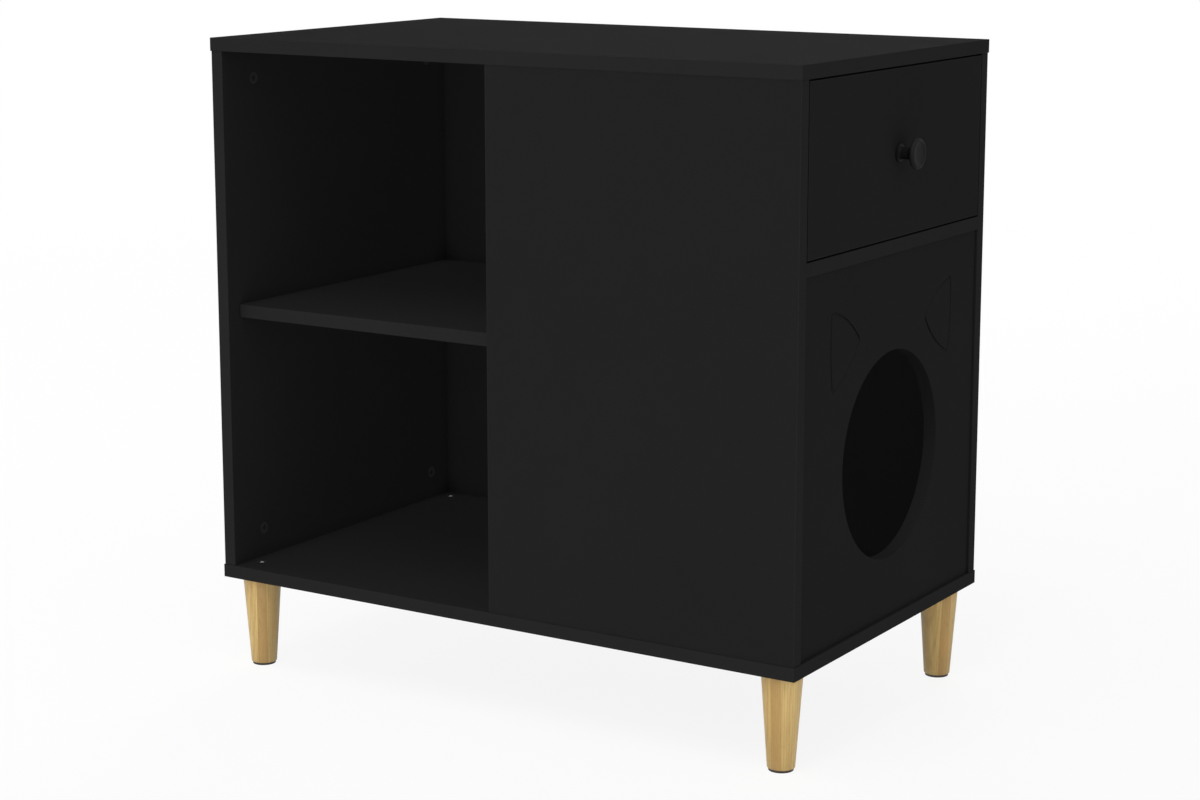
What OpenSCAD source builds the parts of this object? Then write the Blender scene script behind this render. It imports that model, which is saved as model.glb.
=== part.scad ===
// Cat house cabinet on four wooden legs. An open bay with a shelf fills the left half. The right
// half holds a closed cat room, entered through a round hole in the end, under a drawer that
// slides out of the same end. Everything is flat-pack: boards joined with cam bolts and dowels.

/* [Cabinet] */
// Width over the top panel
cabinet_w = 760; // [720:1:900]
// Depth over the top panel
cabinet_d = 448; // [420:1:520]
// Height of the cabinet without its legs
cabinet_h = 633; // [610:1:720]
// Thickness of the cabinet boards
board_t = 15; // [14:0.5:18]
// How far the top and bottom panels stand proud of the other boards
overhang = 1; // [0.5:0.5:3]

/* [Open bay] */
// Clear width of the open bay
bay_w = 362.5; // [300:0.5:390]
// Height of the shelf's underside above the bay floor
shelf_height = 294; // [150:1:400]
// Distance of the shelf's front edge behind the side panel's front edge
shelf_setback = 20; // [5:1:80]
// Gap between the shelf and the board at each of its ends
shelf_play = 0.5; // [0.2:0.1:1]

/* [Cat room] */
// Clear height of the cat room
room_h = 403.5; // [380:0.5:420]
// Distance of the entrance panel behind the cabinet's end face
entrance_recess = 3; // [0:0.5:8]
// Diameter of the cat entrance
entrance_dia = 230; // [160:1:250]
// Height of the entrance's centre above the room floor
entrance_height = 182; // [140:1:200]

/* [Ears] */
// Distance of each ear's tip sideways from the entrance's centre
ear_tip_out = 141; // [125:1:150]
// Height of each ear's tip above the entrance's centre
ear_tip_up = 172; // [160:1:185]
// Distance of each ear's inner corner sideways from the entrance's centre
ear_inner_out = 84; // [75:1:95]
// Height of each ear's inner corner above the entrance's centre
ear_inner_up = 139; // [130:1:148]
// Distance of each ear's outer corner sideways from the entrance's centre
ear_outer_out = 138; // [125:1:150]
// Height of each ear's outer corner above the entrance's centre
ear_outer_up = 96; // [85:1:105]
// Radius that the ear's two inner sides bulge to
ear_side_r = 120; // [80:5:300]
// Radius that the ear's outer side bulges to
ear_edge_r = 330; // [200:10:600]
// Radius of the ear's rounded corners
ear_corner_r = 5; // [4:0.5:10]
// Width of the groove that draws the ear
groove_w = 3; // [1.5:0.5:3.5]
// Depth of the groove that draws the ear
groove_depth = 2; // [0.5:0.5:2.5]

/* [Drawer] */
// Gap round the drawer front
drawer_gap = 2; // [1:0.5:4]
// Thickness of the drawer's side and back boards
drawer_board_t = 12; // [11:0.5:15]
// Height of the drawer's sides
drawer_side_h = 120; // [100:1:140]
// Length of the drawer's sides and of its runners
drawer_depth = 300; // [250:10:320]
// Height of the drawer sides above the divider
drawer_lift = 14; // [8:1:25]
// Distance left between a fixed roller and a drawer roller when the drawer is fully out
rollers_apart = 41; // [30:1:120]
// Thickness of the drawer's hardboard bottom
hardboard_t = 3; // [2.5:0.5:4]
// Height of the hardboard above the drawer sides' lower edges
hardboard_up = 8; // [6:0.5:12]
// Depth of the groove that holds the hardboard
hardboard_groove = 5; // [3:0.5:6]
// How loosely the hardboard sits in its grooves
hardboard_play = 0.2; // [0.1:0.1:0.5]

/* [Knob] */
// Diameter of the knob's head
knob_dia = 33.5; // [26:0.5:45]
// How far the knob stands out of the drawer front
knob_reach = 24; // [20:0.5:35]
// Diameter of the knob's neck
knob_neck_dia = 13; // [10:0.5:18]
// Diameter of the knob's foot
knob_foot_dia = 20; // [18:0.5:25]
// Radius of the rounding round the knob's head
knob_rim_r = 3; // [1.5:0.5:4]
// Depth of the dish in the knob's face
knob_dish = 1.2; // [0.5:0.1:2]

/* [Runners] */
// Width of the gap on each side of the drawer, which the runner fills
runner_gap = 12.5; // [12.5:0.5:15]
// Thickness of the runners' sheet steel
sheet_t = 1.2; // [1:0.1:1.5]
// Clear height of the channel that the drawer's rollers run in
channel_h = 20; // [16:0.5:24]
// Width of the flange under each drawer side
drawer_flange_w = 11; // [8:0.5:14]
// Length of channel left open above each fixed roller
roller_window = 30; // [26:1:40]
// Distance of each roller's axle from its end of the runner
roller_inset = 14; // [13:0.5:18]
// Width of the rollers
roller_w = 7.5; // [6:0.5:8]
// Diameter of the rollers' axles
axle_dia = 5; // [4:0.5:6]
// Diameter of the axles' heads
axle_head_dia = 9; // [8:0.5:10]
// Thickness of the axles' heads
axle_head_t = 0.7; // [0.5:0.1:0.8]
// Gap between a roller and what it rolls on
roller_gap = 0.3; // [0.2:0.1:0.5]
// Gap between runner parts that slide past each other
runner_play = 0.8; // [0.6:0.1:1]

/* [Legs] */
// Length of the wooden legs
leg_len = 106; // [60:1:200]
// Diameter of the legs where they meet the cabinet
leg_top_dia = 45; // [35:0.5:52]
// Diameter of the legs at the foot
leg_foot_dia = 30; // [20:0.5:34]
// Distance of each leg's centre from the cabinet's ends
leg_inset_x = 31; // [28:1:60]
// Distance of each leg's centre from the cabinet's front and back
leg_inset_y = 32; // [28:1:60]
// Height of the chamfer round the foot
leg_chamfer = 1; // [0.5:0.5:3]
// Thickness of the glide under each leg
glide_t = 2.5; // [2:0.5:5]
// Diameter of the glides
glide_dia = 27; // [16:0.5:27]

/* [Fasteners] */
// Diameter of the cam locks
cam_dia = 15; // [14:0.5:16]
// Distance of the cam locks' centres from the joint
cam_reach = 34; // [24:1:38]
// How far the cam locks go past the middle of their board
cam_past_middle = 4.5; // [3.5:0.5:5]
// Distance of the front cam locks from a board's front edge
cam_from_front = 55; // [40:1:80]
// Distance of the rear cam locks from a board's back edge
cam_from_back = 37; // [32:1:60]
// Distance of the drawer's cam locks below the top of its sides
drawer_cam_down = 45; // [20:1:50]
// Distance from each cam bolt to the dowel beside it
dowel_pitch = 32; // [24:1:40]
// Diameter of the dowels
dowel_dia = 8; // [6:0.5:8]
// Diameter of the leg bolts
leg_bolt_dia = 8; // [6:1:8]
// Diameter of the threaded inserts for the leg bolts
insert_dia = 11; // [10.5:0.5:13]
// Diameter of the shelf pins
pin_dia = 5; // [4:0.5:6]
// Diameter of the wood screws
screw_dia = 3.5; // [3:0.1:4]
// Gap round a bolt, screw or dowel in its hole
hole_play = 0.1; // [0.05:0.01:0.15]

/* [Hidden] */
$fn = 64;

// How far cutting shapes run past the faces that they open
cut = 1;

black = [0.13, 0.13, 0.13];
satin_black = [0.15, 0.15, 0.15];
dark_zinc = [0.18, 0.18, 0.18];
pale_wood = [0.78, 0.65, 0.43];
dowel_wood = [0.80, 0.70, 0.52];
hardboard = [0.16, 0.15, 0.14];
zinc = [0.72, 0.73, 0.74];
white_steel = [0.85, 0.85, 0.83];
roller_white = [0.93, 0.93, 0.90];
brown_plastic = [0.20, 0.19, 0.18];

// Cabinet planes, from the front left corner of the bottom panel's underside
side_x = overhang;
bay_x = side_x + board_t;
partition_x = bay_x + bay_w;
room_x = partition_x + board_t;
end_x = cabinet_w - overhang;
front_y = overhang;
inner_y = front_y + board_t;
rear_y = cabinet_d - overhang;
back_y = rear_y - board_t;
floor_z = board_t;
ceiling_z = cabinet_h - board_t;
divider_z = floor_z + room_h;
drawer_bay_z = divider_z + board_t;
shelf_z = floor_z + shelf_height;
half_t = board_t / 2;
mid_y = cabinet_d / 2;

// Entrance
entrance_x = end_x - entrance_recess - board_t;
entrance_z = floor_z + entrance_height;
entrance_steps = 128;

// Drawer
front_back_x = end_x - board_t;
drawer_front_z = drawer_bay_z + drawer_gap;
drawer_front_h = ceiling_z - drawer_gap - drawer_front_z;
drawer_z = drawer_bay_z + drawer_lift;
drawer_top_z = drawer_z + drawer_side_h;
drawer_rear_x = front_back_x - drawer_depth;
drawer_y = [inner_y + runner_gap, back_y - runner_gap];
drawer_inner_y = [drawer_y[0] + drawer_board_t, drawer_y[1] - drawer_board_t];
hardboard_z = drawer_z + hardboard_up;
drawer_half_t = drawer_board_t / 2;
knob_z = drawer_front_z + drawer_front_h / 2;
drawer_cam_z = drawer_top_z - drawer_cam_down;

// Runners. Their profiles are drawn from the wall that the fixed channel is screwed to.
runner_z = drawer_z - sheet_t;
runner_setback = 1;
runner_front_x = front_back_x - runner_setback;
runner_rear_x = runner_front_x - drawer_depth;
channel_w = runner_gap - sheet_t - runner_play;
moving_roller_r = (channel_h - runner_play) / 2;
moving_roller_z = runner_z + sheet_t + roller_gap + moving_roller_r;
rail_z = runner_z + channel_h + 2 * sheet_t + runner_play + roller_gap;
fixed_roller_r = (rail_z - runner_z - sheet_t - 2 * roller_gap) / 2;
fixed_roller_z = rail_z - roller_gap - fixed_roller_r;
fixed_roller_x = runner_front_x - roller_inset;
moving_roller_x = drawer_rear_x + roller_inset;
drawer_travel = fixed_roller_x - rollers_apart - moving_roller_x;
roller_side_gap = (runner_gap - 2 * sheet_t - roller_w) / 2;
runner_screw_head_r = 3.2;
runner_screw_len = 11;
runner_screw_shares = [0.2, 0.5, 0.8];
fixed_screw_z = fixed_roller_z;
moving_screw_z = (hardboard_z + hardboard_t + hardboard_play + rail_z) / 2;
// The stop is a ridge across the channel's floor, which the drawer's roller meets when fully out
stop_h = 1.8;
stop_l = 3;
stop_x = moving_roller_x + drawer_travel + roller_gap
    + sqrt(pow(moving_roller_r, 2) - pow(moving_roller_r - (stop_h - roller_gap), 2));

// Legs
legs_h = leg_len + glide_t;
leg_spots = [
    [leg_inset_x, leg_inset_y], [cabinet_w - leg_inset_x, leg_inset_y],
    [leg_inset_x, cabinet_d - leg_inset_y], [cabinet_w - leg_inset_x, cabinet_d - leg_inset_y]
];
leg_bolt_in_leg = 35;
insert_ledge = 2;
bolt_end_sink = 0.5;

// Cam bolts and dowels
bolt_thread_dia = 5;
bolt_thread_len = 11;
bolt_shank_dia = 6;
bolt_neck_dia = 4;
bolt_neck_len = 3;
bolt_head_len = 4;
edge_bore_dia = 8;
cam_sink = 0.3;
dowel_in_face = 9.5;
dowel_in_edge = 20;
slot_w = 1;
cam_slot_len = 7;
cam_slot_depth = 1.5;

// Shelf pins and screws
pin_in = 8;
pin_out = 8;
pin_from_edge = 37;
back_screw_len = 32;
bottom_screw_len = 16;
bottom_screw_dia = 3;

// The model's origin is the middle of the base, knob included, on the floor
knob_past_panel = knob_reach - overhang;
module in_place() {
    translate([-(cabinet_w + knob_past_panel) / 2, -cabinet_d / 2, legs_h]) children();
}

module board(from, to) {
    translate(from) cube(to - from);
}

// Joints between an edge and a face
// Each joint is [place, turn, side of the dowel, half the board's thickness]. In its own axes the
// bolt runs along +Z into the board's edge, the cam lock shows on the face at +X, and the dowel
// stands beside it along Y. Each end of an upright board is [height, turn, sign], and a joint at
// its upper end is turned over, which swaps its Y.
board_ends = [[floor_z, 0, 1], [ceiling_z, 180, -1]];
room_ends = [[floor_z, 0, 1], [divider_z, 180, -1]];
end_cam_x = end_x - cam_from_front - board_t;

function edge_pair(x, y_front, y_rear) = [
    for (end = board_ends)
        for (spot = [[y_front, 1], [y_rear, -1]])
            [[x, spot[0], end[0]], [end[1], 0, 0], spot[1] * end[2], half_t]
];
function edge_row(xs, y) = [
    for (end = board_ends)
        for (i = [0:len(xs) - 1])
            [[xs[i], y, end[0]], [end[1], 0, 90], (i == 0 ? -1 : 1) * end[2], half_t]
];

side_joints = edge_pair(side_x + half_t, front_y + cam_from_front, back_y - cam_from_back);
partition_joints = edge_pair(partition_x + half_t, inner_y + cam_from_front, back_y - cam_from_back);
front_joints = edge_row([room_x + cam_from_front, end_cam_x], front_y + half_t);
back_joints = edge_row([bay_x + cam_from_front, room_x + cam_from_front, end_cam_x], back_y + half_t);
entrance_joints = [
    for (end = room_ends)
        for (spot = [[inner_y + cam_from_back, -1], [back_y - cam_from_back, 1]])
            [[entrance_x + half_t, spot[0], end[0]], [end[1], 0, 180], spot[1] * end[2], half_t]
];
divider_y = [inner_y + cam_from_front + dowel_pitch, back_y - cam_from_front - dowel_pitch];
divider_joints = concat(
    [for (spot = [[divider_y[0], 1], [divider_y[1], -1]])
        [[room_x, spot[0], divider_z + half_t], [0, 90, 0], spot[1], half_t]],
    [for (wall = [[inner_y, 90, -1], [back_y, -90, 1]])
        for (spot = [[room_x + cam_from_front, 1], [entrance_x - cam_from_front, -1]])
            [[spot[0], wall[0], divider_z + half_t], [0, 90, wall[1]], wall[2] * spot[1], half_t]]
);
drawer_joints = [
    [[front_back_x, drawer_y[0] + drawer_half_t, drawer_cam_z], [-90, 0, 90], 1, drawer_half_t],
    [[front_back_x, drawer_y[1] - drawer_half_t, drawer_cam_z], [90, 0, -90], -1, drawer_half_t]
];
standing_joints = concat(side_joints, partition_joints, front_joints, back_joints);
cabinet_joints = concat(standing_joints, entrance_joints, divider_joints);

module at_joints(joints) {
    for (joint = joints)
        translate(joint[0]) rotate(joint[1]) {
            $side = joint[2];
            $half = joint[3];
            children();
        }
}

module cam_joint_cuts(joints) {
    at_joints(joints) {
        translate([-cam_past_middle, 0, cam_reach]) rotate([0, 90, 0])
            cylinder(h = $half + cam_past_middle + cut, r = cam_dia / 2);
        cylinder(h = cam_reach, r = edge_bore_dia / 2);
        translate([0, 0, -bolt_thread_len - hole_play])
            cylinder(h = bolt_thread_len + hole_play + cut, r = bolt_thread_dia / 2 + hole_play);
        translate([0, $side * dowel_pitch, -dowel_in_face - hole_play])
            cylinder(h = dowel_in_face + dowel_in_edge + 2 * hole_play, r = dowel_dia / 2 + hole_play);
    }
}

module cams(joints) {
    at_joints(joints) difference() {
        translate([-cam_past_middle, 0, cam_reach]) rotate([0, 90, 0])
            cylinder(h = $half + cam_past_middle - cam_sink, r = cam_dia / 2 - hole_play);
        translate([0, 0, cam_reach - cam_dia])
            cylinder(h = cam_dia + bolt_head_len, r = edge_bore_dia / 2);
        for (turn = [0, 90])
            translate([$half - cam_sink, 0, cam_reach]) rotate([turn, 0, 0])
                cube([2 * cam_slot_depth, slot_w, cam_slot_len], center = true);
    }
}

module cam_bolt_set(joints) {
    at_joints(joints) {
        neck_z = cam_reach - bolt_neck_len;
        translate([0, 0, -bolt_thread_len]) cylinder(h = bolt_thread_len, r = bolt_thread_dia / 2);
        cylinder(h = neck_z, r = bolt_shank_dia / 2);
        translate([0, 0, neck_z]) cylinder(h = bolt_neck_len, r = bolt_neck_dia / 2);
        translate([0, 0, cam_reach]) cylinder(h = bolt_head_len - hole_play, r = bolt_shank_dia / 2);
    }
}

module dowel_set(joints) {
    at_joints(joints) translate([0, $side * dowel_pitch, -dowel_in_face])
        cylinder(h = dowel_in_face + dowel_in_edge, r = dowel_dia / 2);
}

// Cabinet boards
module top_panel() {
    color(black) in_place() difference() {
        board([0, 0, ceiling_z], [cabinet_w, cabinet_d, cabinet_h]);
        cam_joint_cuts(standing_joints);
    }
}

module bottom_panel() {
    color(black) in_place() difference() {
        board([0, 0, 0], [cabinet_w, cabinet_d, floor_z]);
        cam_joint_cuts(standing_joints);
        cam_joint_cuts(entrance_joints);
        for (spot = leg_spots) translate(spot) {
            translate([0, 0, -cut]) cylinder(h = board_t, r = leg_bolt_dia / 2 + hole_play);
            translate([0, 0, insert_ledge]) cylinder(h = board_t, r = insert_dia / 2 + hole_play);
        }
    }
}

module left_side_panel() {
    color(black) in_place() difference() {
        board([side_x, front_y, floor_z], [bay_x, back_y, ceiling_z]);
        cam_joint_cuts(side_joints);
        shelf_pin_holes();
    }
}

module front_panel() {
    color(black) in_place() difference() {
        board([partition_x, front_y, floor_z], [end_x, inner_y, ceiling_z]);
        cam_joint_cuts(concat(front_joints, divider_joints));
        fixed_runner_screw_holes();
    }
}

module back_panel() {
    color(black) in_place() difference() {
        board([side_x, back_y, floor_z], [end_x, rear_y, ceiling_z]);
        cam_joint_cuts(concat(back_joints, divider_joints));
        fixed_runner_screw_holes();
    }
}

module partition_panel() {
    color(black) in_place() difference() {
        board([partition_x, inner_y, floor_z], [room_x, back_y, ceiling_z]);
        cam_joint_cuts(concat(partition_joints, divider_joints));
        shelf_pin_holes();
    }
}

module cross_divider() {
    color(black) in_place() difference() {
        board([room_x, inner_y, divider_z], [end_x, back_y, drawer_bay_z]);
        cam_joint_cuts(concat(divider_joints, entrance_joints));
    }
}

// Bay shelf and its pins
shelf_x = [bay_x + shelf_play, partition_x - shelf_play];
shelf_y = front_y + shelf_setback;
pin_spots = [
    for (y = [shelf_y + pin_from_edge, back_y - pin_from_edge])
        for (wall = [[bay_x, 1], [partition_x, -1]])
            [wall[0], y, wall[1]]
];

module bay_shelf() {
    color(black) in_place()
        board([shelf_x[0], shelf_y, shelf_z], [shelf_x[1], back_y, shelf_z + board_t]);
}

module shelf_pin_rods(extra, radius) {
    for (spot = pin_spots)
        translate([spot[0], spot[1], shelf_z - pin_dia / 2 - hole_play]) rotate([0, spot[2] * 90, 0])
            translate([0, 0, -pin_in - extra]) cylinder(h = pin_in + pin_out + extra, r = radius);
}

module shelf_pin_holes() {
    shelf_pin_rods(hole_play, pin_dia / 2 + hole_play);
}

module shelf_pins() {
    color(zinc) in_place() shelf_pin_rods(0, pin_dia / 2);
}

// Entrance panel with its round hole and the outline of two ears
// An ear is a triangle of corner centres. Each side is an arc that touches both corner circles,
// so its centre lies as far from both corner centres as its radius less the corner's.
ear_centres = [[ear_tip_out, ear_tip_up], [ear_inner_out, ear_inner_up], [ear_outer_out, ear_outer_up]];
ear_radii = [ear_side_r, ear_side_r, ear_edge_r];
ear_steps = 16;

function heading(v) = atan2(v[1], v[0]);
function bulge_centre(a, b, radius) =
    let (chord = b - a, half = norm(chord) / 2, reach = sqrt(pow(radius, 2) - pow(half, 2)))
    (a + b) / 2 + reach * [-chord[1], chord[0]] / norm(chord);
function ear_centre(i) = ear_centres[i % 3];
function ear_bulge(i) =
    bulge_centre(ear_centre(i), ear_centre(i + 1), ear_radii[i % 3] - ear_corner_r);
function arc(centre, radius, from, to, steps) = [
    for (k = [0:steps])
        let (angle = from + (to - from) * k / steps)
        centre + radius * [cos(angle), sin(angle)]
];
function turn_up(from, to) = to < from ? to + 360 : to;
function ear_side(i, inset) =
    let (from = heading(ear_centre(i) - ear_bulge(i)), to = heading(ear_centre(i + 1) - ear_bulge(i)))
    arc(ear_bulge(i), ear_radii[i] - inset, from, turn_up(from, to), ear_steps);
function ear_corner(i, inset) =
    let (from = heading(ear_centre(i) - ear_bulge(i + 2)), to = heading(ear_centre(i) - ear_bulge(i)))
    arc(ear_centre(i), ear_corner_r - inset, from, turn_up(from, to), ear_steps / 2);
function ear_outline(inset) = [
    for (i = [0:2]) each concat(ear_corner(i, inset), ear_side(i, inset))
];

module ear_groove() {
    rotate([90, 0, 90]) linear_extrude(groove_depth + cut) difference() {
        polygon(ear_outline(0));
        polygon(ear_outline(groove_w));
    }
}

module entrance_panel() {
    color(black) in_place() difference() {
        board([entrance_x, inner_y, floor_z], [entrance_x + board_t, back_y, divider_z]);
        translate([entrance_x - cut, mid_y, entrance_z]) rotate([0, 90, 0])
            cylinder(h = board_t + 2 * cut, r = entrance_dia / 2, $fn = entrance_steps);
        for (side = [0, 1])
            translate([entrance_x + board_t - groove_depth, mid_y, entrance_z])
                mirror([0, side, 0]) ear_groove();
        cam_joint_cuts(entrance_joints);
    }
}

// Drawer boards
module drawer_front() {
    color(black) in_place() difference() {
        board([front_back_x, inner_y + drawer_gap, drawer_front_z],
            [end_x, back_y - drawer_gap, drawer_front_z + drawer_front_h]);
        cam_joint_cuts(drawer_joints);
        hardboard_space();
        translate([front_back_x - cut, mid_y, knob_z]) rotate([0, 90, 0])
            cylinder(h = board_t + 2 * cut, r = knob_screw_dia / 2 + hole_play);
    }
}

module drawer_side(y) {
    color(black) in_place() difference() {
        board([drawer_rear_x, y, drawer_z], [front_back_x, y + drawer_board_t, drawer_top_z]);
        cam_joint_cuts(drawer_joints);
        hardboard_space();
        drawer_back_screw_holes();
        moving_runner_screw_holes();
    }
}

module drawer_side_front() {
    drawer_side(drawer_y[0]);
}

module drawer_side_rear() {
    drawer_side(drawer_inner_y[1]);
}

module drawer_back() {
    color(black) in_place() difference() {
        board([drawer_rear_x, drawer_inner_y[0], hardboard_z + hardboard_t],
            [drawer_rear_x + drawer_board_t, drawer_inner_y[1], drawer_top_z]);
        drawer_back_screw_holes();
        drawer_bottom_screw_holes();
    }
}

module hardboard_space() {
    board([drawer_rear_x - cut, drawer_inner_y[0] - hardboard_groove, hardboard_z],
        [front_back_x + hardboard_groove, drawer_inner_y[1] + hardboard_groove,
            hardboard_z + hardboard_t + hardboard_play]);
}

module drawer_bottom() {
    color(hardboard) in_place() difference() {
        board([drawer_rear_x, drawer_inner_y[0] - hardboard_groove + hardboard_play, hardboard_z],
            [front_back_x + hardboard_groove - hardboard_play,
                drawer_inner_y[1] + hardboard_groove - hardboard_play, hardboard_z + hardboard_t]);
        drawer_bottom_screw_holes();
    }
}

// Knob, turned about the drawer's pull
knob_screw_dia = 4;
knob_screw_in = 14;
knob_screw_head_dia = 9;
knob_screw_head_t = 2.4;
knob_screw_slot_len = 5;
knob_foot_t = 1.5;
knob_flare_r = (knob_dia - knob_neck_dia) / 2 - knob_rim_r;
knob_steps = 8;

function knob_profile() = concat(
    [[0, 0], [knob_foot_dia / 2, 0]],
    arc([knob_foot_dia / 2, knob_foot_t + (knob_foot_dia - knob_neck_dia) / 2],
        (knob_foot_dia - knob_neck_dia) / 2, -90, -180, knob_steps),
    arc([knob_neck_dia / 2 + knob_flare_r, knob_reach - 2 * knob_rim_r - knob_flare_r],
        knob_flare_r, 180, 90, knob_steps),
    arc([knob_dia / 2 - knob_rim_r, knob_reach - knob_rim_r], knob_rim_r, -90, 90, 2 * knob_steps),
    [for (k = [1:knob_steps]) let (across = 1 - k / knob_steps)
        [(knob_dia / 2 - knob_rim_r) * across, knob_reach - knob_dish * (1 - pow(across, 2))]]
);

module drawer_knob() {
    color(satin_black) in_place() translate([end_x, mid_y, knob_z]) rotate([0, 90, 0]) difference() {
        rotate_extrude() polygon(knob_profile());
        translate([0, 0, -cut])
            cylinder(h = knob_screw_in + hole_play + cut, r = knob_screw_dia / 2 + hole_play);
    }
}

module knob_screw() {
    color(zinc) in_place() translate([front_back_x, mid_y, knob_z]) rotate([0, 90, 0]) {
        cylinder(h = board_t + knob_screw_in, r = knob_screw_dia / 2);
        translate([0, 0, -knob_screw_head_t]) difference() {
            cylinder(h = knob_screw_head_t, r = knob_screw_head_dia / 2);
            for (turn = [0, 90]) rotate(turn)
                cube([knob_screw_slot_len, slot_w, knob_screw_head_t], center = true);
        }
    }
}

// Screws with sunk heads. The head's face is at z = 0 and the point lies along +Z.
module sunk_screw(length, diameter, head_r, head_h) {
    cylinder(h = head_h, r1 = head_r, r2 = diameter / 2);
    translate([0, 0, head_h]) cylinder(h = length - head_h, r = diameter / 2);
}

module sunk_screw_hole(length, diameter, head_r, head_h) {
    slope = (head_r - diameter / 2) / head_h;
    translate([0, 0, -hole_play]) cylinder(h = head_h + hole_play,
        r1 = head_r + (1 + slope) * hole_play, r2 = diameter / 2 + hole_play);
    cylinder(h = length + hole_play, r = diameter / 2 + hole_play);
}

// Drawer back and bottom screws
back_screw_head_r = 3.5;
back_screw_head_h = 2;
back_screw_shares = [0.45, 0.85];
module at_drawer_back_screws() {
    for (wall = [[drawer_y[0], -90], [drawer_y[1], 90]])
        for (share = back_screw_shares)
            translate([drawer_rear_x + drawer_half_t, wall[0], drawer_z + share * drawer_side_h])
                rotate([wall[1], 0, 0]) children();
}

module drawer_back_screws() {
    color(zinc) in_place() at_drawer_back_screws()
        sunk_screw(back_screw_len, screw_dia, back_screw_head_r, back_screw_head_h);
}

module drawer_back_screw_holes() {
    at_drawer_back_screws()
        sunk_screw_hole(back_screw_len, screw_dia, back_screw_head_r, back_screw_head_h);
}

bottom_screw_head_r = 3;
bottom_screw_head_h = 1.5;
bottom_screw_shares = [1 / 6, 1 / 2, 5 / 6];
module at_drawer_bottom_screws() {
    for (share = bottom_screw_shares) {
        y = drawer_inner_y[0] + share * (drawer_inner_y[1] - drawer_inner_y[0]);
        translate([drawer_rear_x + drawer_half_t, y, hardboard_z]) children();
    }
}

module drawer_bottom_screws() {
    color(zinc) in_place() at_drawer_bottom_screws()
        sunk_screw(bottom_screw_len, bottom_screw_dia, bottom_screw_head_r, bottom_screw_head_h);
}

module drawer_bottom_screw_holes() {
    at_drawer_bottom_screws()
        sunk_screw_hole(bottom_screw_len, bottom_screw_dia, bottom_screw_head_r, bottom_screw_head_h);
}

// Runners, drawn with the wall at y = 0 and the drawer side at y = runner_gap
module at_runner(side) {
    translate([0, side == 0 ? inner_y : back_y, 0]) mirror([0, side, 0]) children();
}

module fixed_runner_shape() {
    window_x = runner_front_x - roller_window;
    lip_z = runner_z + sheet_t + channel_h;
    difference() {
        union() {
            board([runner_rear_x, 0, runner_z], [runner_front_x, sheet_t, lip_z + sheet_t]);
            board([runner_rear_x, 0, runner_z], [runner_front_x, channel_w, runner_z + sheet_t]);
            board([runner_rear_x, 0, lip_z], [window_x, channel_w, lip_z + sheet_t]);
            board([stop_x, 0, runner_z], [stop_x + stop_l, channel_w, runner_z + sheet_t + stop_h]);
        }
        fixed_runner_screw_cuts();
        translate([fixed_roller_x, 0, fixed_roller_z]) axle_hole();
    }
}

module moving_runner_shape() {
    web_y = runner_gap - sheet_t;
    difference() {
        union() {
            board([drawer_rear_x, web_y, runner_z], [front_back_x, runner_gap, rail_z + sheet_t]);
            board([drawer_rear_x, web_y, runner_z],
                [front_back_x, runner_gap + drawer_flange_w, drawer_z]);
            board([drawer_rear_x, sheet_t + runner_play, rail_z],
                [front_back_x, runner_gap, rail_z + sheet_t]);
        }
        moving_runner_screw_cuts();
        translate([moving_roller_x, web_y, moving_roller_z]) axle_hole();
    }
}

module axle_hole() {
    translate([0, -cut, 0]) rotate([-90, 0, 0])
        cylinder(h = sheet_t + 2 * cut, r = axle_dia / 2 + hole_play);
}

module roller_shape(radius) {
    rotate([-90, 0, 0]) difference() {
        cylinder(h = roller_w, r = radius);
        translate([0, 0, -cut]) cylinder(h = roller_w + 2 * cut, r = axle_dia / 2 + hole_play);
    }
}

// Each axle is riveted into the sheet that carries it and has its head on the far side of the roller
module axle_shape() {
    head_y = sheet_t + roller_side_gap + roller_w + hole_play;
    rotate([-90, 0, 0]) {
        cylinder(h = head_y, r = axle_dia / 2);
        translate([0, 0, head_y]) cylinder(h = axle_head_t, r = axle_head_dia / 2);
    }
}

module fixed_runner_front() {
    color(white_steel) in_place() at_runner(0) fixed_runner_shape();
}

module fixed_runner_rear() {
    color(white_steel) in_place() at_runner(1) fixed_runner_shape();
}

module moving_runner_front() {
    color(white_steel) in_place() at_runner(0) moving_runner_shape();
}

module moving_runner_rear() {
    color(white_steel) in_place() at_runner(1) moving_runner_shape();
}

module fixed_roller(side) {
    color(roller_white) in_place() at_runner(side)
        translate([fixed_roller_x, sheet_t + roller_side_gap, fixed_roller_z])
            roller_shape(fixed_roller_r);
}

module moving_roller(side) {
    color(roller_white) in_place() at_runner(side)
        translate([moving_roller_x, sheet_t + roller_side_gap, moving_roller_z])
            roller_shape(moving_roller_r);
}

module fixed_roller_front() {
    fixed_roller(0);
}

module fixed_roller_rear() {
    fixed_roller(1);
}

module moving_roller_front() {
    moving_roller(0);
}

module moving_roller_rear() {
    moving_roller(1);
}

module fixed_axles() {
    color(zinc) in_place() for (side = [0, 1])
        at_runner(side) translate([fixed_roller_x, 0, fixed_roller_z]) axle_shape();
}

module moving_axles() {
    color(zinc) in_place() for (side = [0, 1])
        at_runner(side) translate([moving_roller_x, runner_gap, moving_roller_z])
            mirror([0, 1, 0]) axle_shape();
}

// Runner screws, with their heads flush in the sheet
module at_fixed_screws() {
    for (share = runner_screw_shares)
        translate([runner_rear_x + share * drawer_depth, sheet_t, fixed_screw_z])
            rotate([90, 0, 0]) children();
}

module at_moving_screws() {
    for (share = runner_screw_shares)
        translate([drawer_rear_x + share * drawer_depth, runner_gap - sheet_t, moving_screw_z])
            rotate([-90, 0, 0]) children();
}

module runner_screw() {
    sunk_screw(runner_screw_len, screw_dia, runner_screw_head_r, sheet_t);
}

module runner_screw_cut() {
    sunk_screw_hole(runner_screw_len, screw_dia, runner_screw_head_r, sheet_t);
}

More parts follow.
